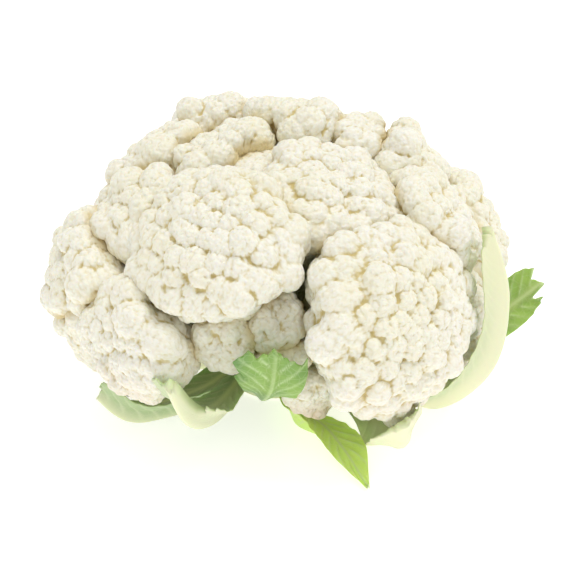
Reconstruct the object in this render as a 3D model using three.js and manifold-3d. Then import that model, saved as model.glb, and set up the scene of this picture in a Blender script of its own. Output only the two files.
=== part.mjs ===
// A head of cauliflower with its leaves trimmed, standing on its cut stem.
//
// Millimetres, +Z up. The origin is the centre of the stem's cut face. The head's front is -Y.
// Each floret is a lobed cap on a stalk that runs back to the stem, and each leaf is a thick
// midrib that thins into a blade. Every piece is a closed solid, and neighbours keep a gap.
import * as THREE from "three";
import { mergeVertices } from "three/addons/utils/BufferGeometryUtils.js";
import Module from "manifold-3d";

// ---- Driving dimensions --------------------------------------------------------------------

const GAP = 0.3; // the clearance between neighbouring pieces
const CROWN = new THREE.Vector3(0, 4, 32); // inside the stem, where all the stalks would meet
const CROWN_CLEARANCE = 27; // a stalk ends this far from the crown
const HEAD_CENTRE = new THREE.Vector3(0, 2, 50); // leaves turn their outer side away from here

// The stem's outline from the cut face up to its domed top, as [radius, height].
const STEM_OUTLINE = [
  [0, 0],
  [18, 0],
  [20, 1.5],
  [19, 10],
  [20, 20],
  [23, 29],
  [23, 38],
  [19, 48],
  [11, 54],
  [0, 56],
];
const STEM_SEGMENTS = 32;
const STEM_WIDE_AT = 30; // the height of its widest part, where a margin round it changes side

// Florets: the centre of each cap, and the cap's radius.
const FLORETS = {
  front_right: [35.5, -42, 48.5, 36],
  front_left: [-48, -45, 44.5, 22.5],
  front_upper: [-17.5, -37, 75.5, 29],
  small_low: [15, -49, 23, 9],
  small_left: [-17, -52, 49, 12],
  small_right: [4, -54, 43, 9.5],
  front_middle: [1, -52, 54, 11],
  centre: [20, -15, 82.5, 25],
  crown_left: [-15.5, 10, 89, 21],
  small_crown: [-7, 1, 89, 14],
  crown_right: [8, 30, 92.5, 21],
  left: [-67, -8, 50, 26],
  left_low: [-68, -16, 35, 19],
  left_shoulder: [-50, -6, 75, 20],
  left_upper: [-43, 22, 81, 21],
  top_back_left: [-22, 45, 85.5, 20],
  top_right: [33, 26, 90, 17],
  right_shoulder: [49, 23, 84, 19],
  right_upper: [57.5, -10, 71, 23],
  right: [71, 22, 52, 25],
  right_low: [71, -6, 31, 20],
  back_left: [-28, 60, 57, 26],
  back_right: [22, 60, 59, 27],
  back_far_right: [55, 51, 46, 24],
  back_far_left: [-59, 35, 42, 24],
};
const CAP_EDGE = THREE.MathUtils.degToRad(118); // where the cap turns under, from its own axis
const LOBE_AREA = 260; // cap surface for each lobe, square millimetres
const LOBE_SHARE = 0.62; // a lobe ball's radius, as a share of the spacing between lobes
const CAP_FLOOR = 0.86; // between lobes the cap sinks to this share of its radius
const CAP_FLATNESS = 1.7; // a cap's ball is this much larger than the room the floret fills
const CAP_SPREAD = 1.2; // how far a cap may spread to its sides, as a share of its radius
const CAP_ROUNDING = 1.8; // how softly a cap turns down into its sides
const LOBE_DEPTH = 0.6; // the share of the lobes' relief that is kept
const GOLDEN_ANGLE = Math.PI * (3 - Math.sqrt(5));
const NECK_SHARE = 0.5; // the stalk's radius under the cap, as a share of the cap's
const ROOT_RADIUS = 3; // the stalk's least radius at its root
const ROOT_SHARE = 0.16; // what the root gains for each millimetre of cap radius

// Leaves: each row is a place along the midrib from the stem outwards, as [x, y, z, half the
// width on one side, half the width on the other, the midrib's thickness]. cup is how far the
// edges turn towards the head, as a share of the width. roll turns the leaf about its midrib, in
// degrees. A leaf that is mostly blade is greener than one that is mostly petiole.
const LEAVES = {
  front_left: {
    rows: [
      [-12, -14, 17, 5, 5, 6],
      [-25, -27, 13.5, 9, 9, 7],
      [-41, -38, 13, 10, 11, 7],
      [-55, -45.5, 15, 9, 11, 6],
      [-68, -44, 24, 6, 7, 4],
    ],
    cup: 0.2,
    roll: 0,
  },
  curled: {
    rows: [
      [-7, -17, 23, 4, 4, 6],
      [-15, -36, 19, 5, 6, 7],
      [-23, -53, 20, 7, 9, 8],
      [-30, -68, 34.5, 8, 12, 8],
      [-35, -77, 52, 9, 8, 5],
    ],
    cup: 0.15,
    roll: 0,
  },
  torn: {
    rows: [
      [-1, -18, 27, 4, 4, 5],
      [-4, -38, 26, 4, 4, 5],
      [-3, -59, 31, 8, 8, 4],
      [0, -71, 42, 15, 13, 3],
      [2, -78, 62, 16, 13, 2.5],
    ],
    cup: 0.03,
    roll: 0,
    mostlyBlade: true,
  },
  pointed: {
    rows: [
      [5, -17, 9, 4, 4, 6],
      [10, -34, 7.5, 6, 6, 7],
      [20, -46, 6.5, 8, 10, 5],
      [27, -59, 5, 6, 9, 3.5],
      [36, -81, 2.5, 2, 2, 2],
    ],
    cup: 0.1,
    roll: 0,
    mostlyBlade: true,
  },
  front_right: {
    rows: [
      [13, -12, 10, 4, 4, 6],
      [27, -26, 10, 7, 7, 7],
      [40, -42, 9, 11, 11, 7],
      [48, -59, 12, 14, 13, 6],
      [51, -69, 26, 11, 10, 3],
    ],
    cup: 0.25,
    roll: 0,
  },
  right: {
    rows: [
      [19, -3, 15, 4, 4, 7],
      [42, -15, 9.5, 7, 7, 9],
      [62, -31, 12.5, 7, 7, 8],
      [79, -35, 31, 9, 8, 8],
      [84, -29, 56, 9, 9, 7],
      [79, -22, 83, 4, 3, 4],
    ],
    cup: 0.1,
    roll: 0,
  },
  far_right: {
    rows: [
      [18, 5, 9, 4, 4, 6],
      [48, 7, 9, 9, 9, 7],
      [73, 8, 9.5, 10, 11, 6],
      [94, 4, 29, 10, 11, 4],
      [109, 1, 45, 9, 10, 2.5],
    ],
    cup: 0.15,
    roll: 35,
    mostlyBlade: true,
  },
  back_right: {
    rows: [
      [13, 14, 9, 5, 5, 6],
      [32, 36, 9, 10, 10, 8],
      [50, 56, 11, 13, 13, 7],
      [62, 70, 23, 13, 13, 5],
      [67, 77, 39, 8, 8, 3],
    ],
    cup: 0.25,
    roll: 0,
  },
  back: {
    rows: [
      [0, 20, 10, 5, 5, 6],
      [1, 46, 9.5, 11, 11, 9],
      [-1, 70, 11, 15, 15, 8],
      [-2, 87, 24, 16, 16, 6],
      [-4, 93, 48, 10, 10, 3],
    ],
    cup: 0.25,
    roll: 0,
  },
  back_left: {
    rows: [
      [-13, 14, 9, 5, 5, 6],
      [-34, 34, 9, 10, 10, 8],
      [-54, 50, 10.5, 13, 13, 7],
      [-69, 61, 22, 13, 13, 5],
      [-76, 67, 38, 8, 8, 3],
    ],
    cup: 0.25,
    roll: 0,
  },
  left: {
    rows: [
      [-19, 2, 9, 5, 5, 6],
      [-40, 3, 8, 10, 10, 7],
      [-58, 3, 8.5, 13, 13, 6],
      [-72, 3, 13, 12, 12, 5],
      [-80, 3, 20, 8, 8, 3],
    ],
    cup: 0.2,
    roll: 0,
  },
};
const BLADE = 1.6; // the thickness of a leaf's blade at its edge
const RIB_SPREAD = 0.4; // how far the midrib's bulge reaches across, as a share of half the width
const LEAF_RINGS = 9; // along a leaf
const LEAF_STRIPS = 6; // across it

// ---- Helpers -------------------------------------------------------------------------------

// Two unit vectors square to an axis and to each other.
function squareTo(axis) {
  const helper = Math.abs(axis.z) < 0.9 ? new THREE.Vector3(0, 0, 1) : new THREE.Vector3(1, 0, 0);
  const across = new THREE.Vector3().crossVectors(helper, axis).normalize();
  return [across, new THREE.Vector3().crossVectors(axis, across)];
}

// A closed surface from rings of equal length: each ring joins the next, and fans close the ends.
function closeRings(first, rings, last) {
  const points = [first, ...rings.flat(), last];
  const count = rings[0].length;
  const index = [];
  const at = (ring, i) => 1 + ring * count + (i % count);
  for (let i = 0; i < count; i++) {
    index.push(0, at(0, i), at(0, i + 1));
    for (let ring = 0; ring + 1 < rings.length; ring++) {
      index.push(at(ring, i), at(ring + 1, i), at(ring + 1, i + 1));
      index.push(at(ring, i), at(ring + 1, i + 1), at(ring, i + 1));
    }
    index.push(at(rings.length - 1, i), points.length - 1, at(rings.length - 1, i + 1));
  }
  const geometry = new THREE.BufferGeometry().setFromPoints(points);
  geometry.setIndex(index);
  geometry.computeVertexNormals();
  return geometry;
}

async function loadManifold() {
  const manifold = await Module();
  manifold.setup();
  return manifold;
}

const { Manifold, Mesh: SolidMesh } = await loadManifold();

function solidOf(geometry) {
  const plain = new THREE.BufferGeometry().setAttribute("position", geometry.getAttribute("position"));
  plain.setIndex(geometry.index);
  const welded = mergeVertices(plain, 1e-3);
  return new Manifold(
    new SolidMesh({
      numProp: 3,
      vertProperties: new Float32Array(welded.getAttribute("position").array),
      triVerts: new Uint32Array(welded.index.array),
    }),
  );
}

// One closed geometry less another. What is cut off loose is left out.
function less(geometry, cutter) {
  const bodies = solidOf(geometry).subtract(solidOf(cutter)).decompose();
  const mesh = bodies.sort((a, b) => b.volume() - a.volume())[0].getMesh();
  const result = new THREE.BufferGeometry();
  result.setAttribute("position", new THREE.BufferAttribute(mesh.vertProperties, 3));
  result.setIndex(new THREE.BufferAttribute(mesh.triVerts, 1));
  result.computeVertexNormals();
  return result;
}

function named(name, geometry, material) {
  const mesh = new THREE.Mesh(geometry, material);
  mesh.name = name;
  return mesh;
}

// ---- Florets -------------------------------------------------------------------------------

const florets = Object.entries(FLORETS).map(([name, [x, y, z, radius]]) => ({
  name,
  radius,
  centre: new THREE.Vector3(x, y, z),
}));

// The planes that part a floret from its neighbours. Each holds the crown, and passes where the
// two caps would meet, so both stalks stay on their own sides of it.
function partings(floret) {
  const planes = [];
  for (const other of florets) {
    const apart = other.centre.clone().sub(floret.centre);
    const distance = apart.length();
    if (other === floret || distance >= CAP_FLATNESS * (other.radius + floret.radius)) continue;
    const share = (distance ** 2 + floret.radius ** 2 - other.radius ** 2) / (2 * distance ** 2);
    const between = floret.centre.clone().addScaledVector(apart, THREE.MathUtils.clamp(share, 0.3, 0.7));
    const outwards = between.clone().sub(CROWN).normalize();
    const normal = apart.addScaledVector(outwards, -apart.dot(outwards)).normalize();
    planes.push(new THREE.Plane().setFromNormalAndCoplanarPoint(normal, between));
  }
  return planes;
}

// How far one can go from a point along a direction before a parting plane is too near.
function reach(point, direction, length, planes) {
  let allowed = length;
  for (const plane of planes) {
    const speed = plane.normal.dot(direction);
    if (speed > 1e-6) {
      allowed = Math.min(allowed, (-plane.distanceToPoint(point) - GAP / 2) / speed);
    }
  }
  return allowed;
}

// Lobe directions on a cap: a spiral by the golden angle, evenly spread from the tip to the edge.
function lobeDirections(radius, axis, across, along) {
  const area = 2 * Math.PI * radius ** 2 * (1 - Math.cos(CAP_EDGE));
  const count = Math.max(6, Math.round(area / LOBE_AREA));
  return Array.from({ length: count }, (_, k) => {
    const height = 1 - ((k + 0.5) / count) * (1 - Math.cos(CAP_EDGE));
    const width = Math.sqrt(1 - height ** 2);
    const turn = k * GOLDEN_ANGLE;
    return new THREE.Vector3()
      .addScaledVector(axis, height)
      .addScaledVector(across, width * Math.cos(turn))
      .addScaledVector(along, width * Math.sin(turn));
  });
}

// The distance from the cap's centre to its lobed surface.
function lobedRadius(direction, radius, lobes, ball) {
  const offset = radius - ball;
  let far = radius * CAP_FLOOR;
  for (const lobe of lobes) {
    const cosine = lobe.dot(direction);
    const inside = ball ** 2 - offset ** 2 * (1 - cosine ** 2);
    if (cosine > 0 && inside > 0) far = Math.max(far, offset * cosine + Math.sqrt(inside));
  }
  return far;
}

function floretGeometry(floret) {
  const { centre, radius } = floret;
  const axis = centre.clone().sub(CROWN).normalize();
  const [across, along] = squareTo(axis);
  const planes = partings(floret);
  const lobes = lobeDirections(radius, axis, across, along);
  const lobeBall = LOBE_SHARE * Math.sqrt(LOBE_AREA);
  const segments = 6 + Math.round(0.55 * radius);
  const capRings = 3 + Math.round(0.24 * radius);
  const stalkLength = centre.distanceTo(CROWN) - CROWN_CLEARANCE;
  const rootRadius = ROOT_RADIUS + ROOT_SHARE * radius;
  const turns = Array.from({ length: segments }, (_, i) => (2 * Math.PI * i) / segments);
  const sideways = (turn) =>
    across.clone().multiplyScalar(Math.cos(turn)).addScaledVector(along, Math.sin(turn));

  // the cap's ball is larger than the floret's room and lies deeper, with its tip in the same place
  const ball = radius * CAP_FLATNESS;
  const deeper = centre.clone().addScaledVector(axis, radius - ball).sub(centre);
  const onCap = (polar, turn) => {
    const direction = sideways(turn).multiplyScalar(Math.sin(polar));
    direction.addScaledVector(axis, Math.cos(polar));
    const nearest = deeper.dot(direction);
    const limits = [nearest + Math.sqrt(ball ** 2 - deeper.lengthSq() + nearest ** 2)];
    const above = THREE.MathUtils.smoothstep(direction.z, -0.5, 0); // caps don't spread downwards
    limits.push(radius * THREE.MathUtils.lerp(1, CAP_SPREAD, above));
    for (const plane of planes) {
      const speed = plane.normal.dot(direction);
      if (speed > 1e-6) limits.push((-plane.distanceToPoint(centre) - GAP / 2) / speed);
    }
    const shortest = Math.min(...limits);
    const softened = limits.reduce((sum, far) => sum + Math.exp((shortest - far) / CAP_ROUNDING), 0);
    const far = shortest - CAP_ROUNDING * Math.log(softened);
    const relief = 1 - lobedRadius(direction, radius, lobes, lobeBall) / radius;
    return centre.clone().addScaledVector(direction, far * (1 - LOBE_DEPTH * relief));
  };
  const onStalk = (depth, wide, turn) => {
    const middle = centre.clone().addScaledVector(axis, -depth);
    const direction = sideways(turn);
    return middle.clone().addScaledVector(direction, reach(middle, direction, wide, planes));
  };

  const rings = [];
  for (let ring = 1; ring <= capRings; ring++) {
    rings.push(turns.map((turn) => onCap((CAP_EDGE * ring) / capRings, turn)));
  }
  const neckDepth = Math.min(radius * 0.75, stalkLength * 0.6);
  for (const share of [0, 0.45, 1]) {
    const depth = THREE.MathUtils.lerp(neckDepth, stalkLength, share);
    const wide = THREE.MathUtils.lerp(radius * NECK_SHARE, rootRadius, Math.sqrt(share));
    rings.push(turns.map((turn) => onStalk(depth, wide, turn)));
  }
  const tip = onCap(0, 0);
  const root = centre.clone().addScaledVector(axis, -stalkLength);
  return closeRings(tip, rings, root);
}

// ---- Stem ----------------------------------------------------------------------------------

// The stem, or with a margin the room it needs, which leaves and stalks are cut back to.
function stemGeometry(margin = 0) {
  const outline = STEM_OUTLINE.map(([radius, height]) => {
    const up = height > STEM_WIDE_AT ? margin : -margin;
    return new THREE.Vector2(radius && radius + margin, height + up);
  });
  const lathe = new THREE.LatheGeometry(outline, STEM_SEGMENTS); // turns about Y
  return lathe.rotateX(Math.PI / 2);
}

// ---- Leaves --------------------------------------------------------------------------------

// A leaf's midrib curve, and its widths and thickness at any share of its length.
function leafLine(rows) {
  const points = rows.map(([x, y, z]) => new THREE.Vector3(x, y, z));
  const curve = new THREE.CatmullRomCurve3(points, false, "centripetal");
  const measures = new THREE.CatmullRomCurve3(
    rows.map(([, , , one, other, rib]) => new THREE.Vector3(one, other, rib)),
    false,
    "centripetal",
  );
  return (share) => [curve.getPoint(share), curve.getTangent(share), measures.getPoint(share)];
}

// A leaf's inner skin faces the head, and its outer skin bulges over the midrib.
function leafGeometry({ rows, cup, roll }) {
  const line = leafLine(rows);
  const steps = Array.from({ length: LEAF_STRIPS + 1 }, (_, i) => (2 * i) / LEAF_STRIPS - 1);
  const ring = (share) => {
    const [middle, forwards, measure] = line(share);
    const outwards = middle.clone().sub(HEAD_CENTRE);
    outwards.addScaledVector(forwards, -outwards.dot(forwards)).normalize();
    outwards.applyAxisAngle(forwards, THREE.MathUtils.degToRad(roll));
    const sideways = new THREE.Vector3().crossVectors(forwards, outwards);
    const place = (step, outer) => {
      const wide = step < 0 ? measure.x : measure.y;
      const bulge = (measure.z - BLADE) * Math.exp(-((step / RIB_SPREAD) ** 2));
      return middle
        .clone()
        .addScaledVector(sideways, step * wide)
        .addScaledVector(outwards, -cup * step * step * wide + (outer ? BLADE + bulge : 0));
    };
    const inner = steps.map((step) => place(step, false));
    const outer = steps.map((step) => place(step, true)).reverse();
    return [...inner, ...outer];
  };
  const rings = Array.from({ length: LEAF_RINGS + 1 }, (_, i) => ring(i / LEAF_RINGS));
  const middleOf = (points) =>
    points.reduce((sum, p) => sum.add(p), new THREE.Vector3()).divideScalar(points.length);
  return closeRings(middleOf(rings[0]), rings, middleOf(rings[LEAF_RINGS]));
}

// ---- The head ------------------------------------------------------------------------------

const curd = new THREE.MeshStandardMaterial({ color: 0xf2ecd4, roughness: 0.75, metalness: 0 });
const petiole = new THREE.MeshStandardMaterial({ color: 0xd9e0b4, roughness: 0.5, metalness: 0 });
const blade = new THREE.MeshStandardMaterial({ color: 0x8fbf5a, roughness: 0.5, metalness: 0 });

const head = new THREE.Group();
head.add(named("stem", stemGeometry(), petiole));
const room = stemGeometry(GAP);
for (const floret of florets) {
  head.add(named("floret_" + floret.name, less(floretGeometry(floret), room), curd));
}
for (const [name, leaf] of Object.entries(LEAVES)) {
  head.add(named("leaf_" + name, less(leafGeometry(leaf), room), leaf.mostlyBlade ? blade : petiole));
}

export default head;
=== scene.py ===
# %% [markdown]
# # A head of cauliflower
# This lesson gives a plain modelled head of cauliflower its real skin. The plain model has one
# closed solid for the stem, one for each floret and one for each trimmed leaf, and everything
# here is built around those solids, in metres, with the stem's cut face at the origin.

# %% Load the plain model and keep its size
import math

import bpy
import numpy as np
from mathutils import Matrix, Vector


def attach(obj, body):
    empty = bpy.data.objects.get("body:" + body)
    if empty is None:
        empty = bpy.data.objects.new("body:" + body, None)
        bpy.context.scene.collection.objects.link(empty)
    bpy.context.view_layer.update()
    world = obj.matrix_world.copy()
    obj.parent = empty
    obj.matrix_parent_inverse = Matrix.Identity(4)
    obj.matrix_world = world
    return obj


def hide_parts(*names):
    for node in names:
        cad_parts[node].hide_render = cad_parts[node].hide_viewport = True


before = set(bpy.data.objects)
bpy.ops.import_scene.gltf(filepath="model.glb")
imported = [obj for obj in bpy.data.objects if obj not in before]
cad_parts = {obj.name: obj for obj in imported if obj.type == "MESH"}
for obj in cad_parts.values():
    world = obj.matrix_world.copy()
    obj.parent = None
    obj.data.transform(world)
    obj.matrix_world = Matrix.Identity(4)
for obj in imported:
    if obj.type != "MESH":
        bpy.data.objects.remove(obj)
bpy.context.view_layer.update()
floret_names = sorted(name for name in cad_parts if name.startswith("floret_"))
MM = 0.001
print("florets:", len(floret_names), "of", len(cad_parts), "pieces")

# %% [markdown]
# ## Wiring nodes from code
# A node tree made in code is a long list of boxes and wires. A few small helpers make a node,
# fill in its settings and join its inputs, so that each step of a tree below is a single line.
# The same helpers serve Geometry Nodes and materials, because both are node trees.


# %% Helpers for trees
def wire(tree, socket, value):
    """Fills an input with a number, a colour or the output of another node."""
    if isinstance(value, bpy.types.Node):
        value = next(s for s in value.outputs if s.enabled)
    if isinstance(value, bpy.types.NodeSocket):
        tree.links.new(value, socket)
    elif value is not None:
        socket.default_value = value


def put(tree, kind, *values, **settings):
    """A new node. Each value goes to an input in order, and None skips one."""
    node = tree.nodes.new(kind)
    named = settings.pop("named", {})
    for key, value in settings.items():
        setattr(node, key, value)
    places = [socket for socket in node.inputs if socket.enabled]
    for socket, value in zip(places, values):
        wire(tree, socket, value)
    for key, value in named.items():
        wire(tree, node.inputs[key], value)
    return node


def sum_of(tree, a, b, operation="ADD", c=None):
    return put(tree, "ShaderNodeMath", a, b, c, operation=operation)


def vector_of(tree, a, b=None, operation="ADD", scale=None):
    node = put(tree, "ShaderNodeVectorMath", operation=operation)
    for socket, value in ((node.inputs[0], a), (node.inputs[1], b), (node.inputs[3], scale)):
        wire(tree, socket, value)
    return node


def ramp_of(tree, value, low, high, first=0.0, last=1.0):
    """value taken smoothly from low..high to first..last."""
    return put(tree, "ShaderNodeMapRange", value, low, high, first, last,
               interpolation_type="SMOOTHSTEP")


def remember(tree, geometry, name, value):
    """Keeps a number on every point of the mesh, under a name that a material can read."""
    return put(tree, "GeometryNodeStoreNamedAttribute", geometry, data_type="FLOAT", domain="POINT",
               named={"Name": name, "Value": value})


print("helpers for trees are ready")

# %% [markdown]
# ## The curd
# A floret is a heap of lobes, each lobe is a heap of beads, and each bead is a heap of grains: the
# same dome again and again, smaller each time. It could be sculpted, but it follows a rule, so
# Geometry Nodes makes it. Balls are placed by the golden angle just inside the plain floret's
# outline, lower where one heap ends and the next begins. A fine skin is then dropped on to them
# from outside, and beads raise it further. Starting from the plain floret keeps each one in its
# place. Its flanks swell a few millimetres, so that it presses into its neighbours and the line
# between two florets is thin, as on a tight head.

# %% Sizes of the curd
GOLDEN_ANGLE = math.pi * (3 - math.sqrt(5))
LOBES_REACH = math.radians(122)  # lobes cover a floret from its tip to this angle from its axis
LOBE_SIZE = 6.4 * MM  # a lobe's own radius
LOBE_SHARE = 0.31  # and no more than this share of its floret's radius
LOBE_SPREAD = (0.78, 1.25)  # the smallest and largest lobes, as shares of that
LOBE_SPACING = 1.4  # between lobes, in lobe radii
LOBE_SINK = 0.86  # how deep the heap is filled between lobes, in lobe radii
LOBE_SHAKE = 0.05  # how far a lobe strays from the spiral, in cap radii
HEAP_SPACING = 22 * MM  # lobes sit in heaps, this far apart
HEAP_FALL = 3.0 * MM  # how much lower a lobe sits half-way to the next heap
PRESS_OUT = 5.6 * MM  # how far a floret's flanks swell, to press on its neighbours
BEADS = ((4.2 * MM, 0.6 * MM), (2.3 * MM, 0.5 * MM), (1.3 * MM, 0.25 * MM))  # spacing, height
DROP = 150 * MM  # the skin falls from this far out
CRIMP_STEPS = (3, 30)  # the narrow and the wide look at how hollow the skin is
CRIMP_DEPTHS = ((0.0, 0.12 * MM), (0.12 * MM, 0.75 * MM))  # how hollow a crease is, least and most


# %% Lobes under the skin
def lobes_of(tree, given, hull, turned):
    """Balls on a golden spiral, each touching the plain floret from inside."""
    spots = put(tree, "GeometryNodePoints", given["Lobe count"])
    index = put(tree, "GeometryNodeInputIndex")
    share = sum_of(tree, sum_of(tree, index, 0.5), given["Lobe count"], "DIVIDE")
    height = sum_of(tree, share, math.cos(LOBES_REACH) - 1, "MULTIPLY_ADD", 1.0)
    square = sum_of(tree, height, height, "MULTIPLY")
    wide = sum_of(tree, sum_of(tree, 1.0, square, "SUBTRACT"), None, "SQRT")
    turn = sum_of(tree, index, GOLDEN_ANGLE, "MULTIPLY_ADD", given["Seed"])
    spot = put(tree, "ShaderNodeCombineXYZ",
               sum_of(tree, sum_of(tree, turn, None, "COSINE"), wide, "MULTIPLY"),
               sum_of(tree, sum_of(tree, turn, None, "SINE"), wide, "MULTIPLY"), height)
    shake = put(tree, "FunctionNodeRandomValue", data_type="FLOAT_VECTOR",
                named={0: (-LOBE_SHAKE,) * 3, 1: (LOBE_SHAKE,) * 3, "Seed": given["Seed"]})
    spot = put(tree, "FunctionNodeRotateVector", vector_of(tree, spot, shake), turned)
    hit = put(tree, "GeometryNodeRaycast", named={
        "Target Geometry": hull.outputs[0], "Source Position": given["Cap centre"],
        "Ray Direction": spot, "Ray Length": 2 * DROP})
    size = put(tree, "FunctionNodeRandomValue", data_type="FLOAT",
               named={2: LOBE_SPREAD[0], 3: LOBE_SPREAD[1], "Seed": sum_of(tree, given["Seed"], 7)})
    size = sum_of(tree, size.outputs[1], given["Lobe size"], "MULTIPLY")
    heaps = put(tree, "GeometryNodeDistributePointsOnFaces", hull, distribute_method="POISSON", named={
        "Distance Min": HEAP_SPACING, "Density Max": 4 / HEAP_SPACING**2, "Seed": given["Seed"]})
    away = put(tree, "GeometryNodeProximity", target_element="POINTS", named={
        "Geometry": heaps.outputs["Points"], "Sample Position": hit.outputs["Hit Position"]})
    fall = ramp_of(tree, away.outputs["Distance"], 0.0, HEAP_SPACING / 2, 0.0, HEAP_FALL)
    inwards = vector_of(tree, hit.outputs["Hit Normal"], None, "SCALE",
                        sum_of(tree, sum_of(tree, size, fall), -1.0, "MULTIPLY"))
    middles = vector_of(tree, hit.outputs["Hit Position"], inwards)
    balls = put(tree, "GeometryNodeSetPosition", spots, named={"Position": middles})
    ball = put(tree, "GeometryNodeMeshIcoSphere", 1.0, 4)
    balls = put(tree, "GeometryNodeInstanceOnPoints", balls, named={"Instance": ball, "Scale": size})
    return put(tree, "GeometryNodeRealizeInstances", balls)


# %% A skin to drop on to them
def even_ball(tree, detail, turned):
    """Directions spread over a ball from a finely cut cube, crowded towards the floret's tip."""
    cube = put(tree, "GeometryNodeMeshCube", (2.0, 2.0, 2.0), detail, detail, detail)
    place = put(tree, "ShaderNodeSeparateXYZ", put(tree, "GeometryNodeInputPosition"))
    evened = [sum_of(tree, sum_of(tree, place.outputs[k], math.pi / 4, "MULTIPLY"), None, "TANGENT")
              for k in range(3)]
    round_way = vector_of(tree, put(tree, "ShaderNodeCombineXYZ", *evened), None, "NORMALIZE")
    parts = put(tree, "ShaderNodeSeparateXYZ", round_way)
    polar = sum_of(tree, parts.outputs["Z"], None, "ARCCOSINE")
    crowded = sum_of(tree, sum_of(tree, polar, None, "SINE"), -0.3, "MULTIPLY_ADD", polar)
    ring = put(tree, "ShaderNodeCombineXYZ", parts.outputs["X"], parts.outputs["Y"], 0.0)
    ring = vector_of(tree, vector_of(tree, ring, None, "NORMALIZE"), None, "SCALE",
                     sum_of(tree, crowded, None, "SINE"))
    tip = put(tree, "ShaderNodeCombineXYZ", 0.0, 0.0, sum_of(tree, crowded, None, "COSINE"))
    return cube, put(tree, "FunctionNodeRotateVector", vector_of(tree, ring, tip), turned)


# %% Beads and grains, and where the skin is hollow
def beaded(tree, skin, seed, level, share):
    """The skin raised into domes round scattered points, by share of their full height."""
    spacing, rise = BEADS[level]
    spots = put(tree, "GeometryNodeDistributePointsOnFaces", skin, distribute_method="POISSON", named={
        "Distance Min": spacing, "Density Max": 4 / spacing**2,
        "Seed": sum_of(tree, seed, 31 * level)})
    nearest = put(tree, "GeometryNodeProximity", target_element="POINTS",
                  named={"Geometry": spots.outputs["Points"]})
    off = sum_of(tree, nearest.outputs["Distance"], spacing * 0.8, "DIVIDE")
    hollow = sum_of(tree, 1.0, sum_of(tree, off, off, "MULTIPLY"), "SUBTRACT")
    dome = sum_of(tree, sum_of(tree, hollow, 0.0, "MAXIMUM"), None, "SQRT")
    lift = sum_of(tree, sum_of(tree, dome, -0.7), rise, "MULTIPLY")
    lift = sum_of(tree, lift, share, "MULTIPLY")
    lift = vector_of(tree, put(tree, "GeometryNodeInputNormal"), None, "SCALE", lift)
    return put(tree, "GeometryNodeSetPosition", skin, named={"Offset": lift})


def hollowness(tree, steps, depths):
    """How far the skin lies below its own smoothed shape: 1 in a full crease, 0 on a dome."""
    place = put(tree, "GeometryNodeInputPosition")
    eased = put(tree, "GeometryNodeBlurAttribute", data_type="FLOAT_VECTOR",
                named={"Value": place, "Iterations": steps})
    below = vector_of(tree, vector_of(tree, eased, place, "SUBTRACT"),
                      put(tree, "GeometryNodeInputNormal"), "DOT_PRODUCT")
    return ramp_of(tree, below.outputs["Value"], *depths)


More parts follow.
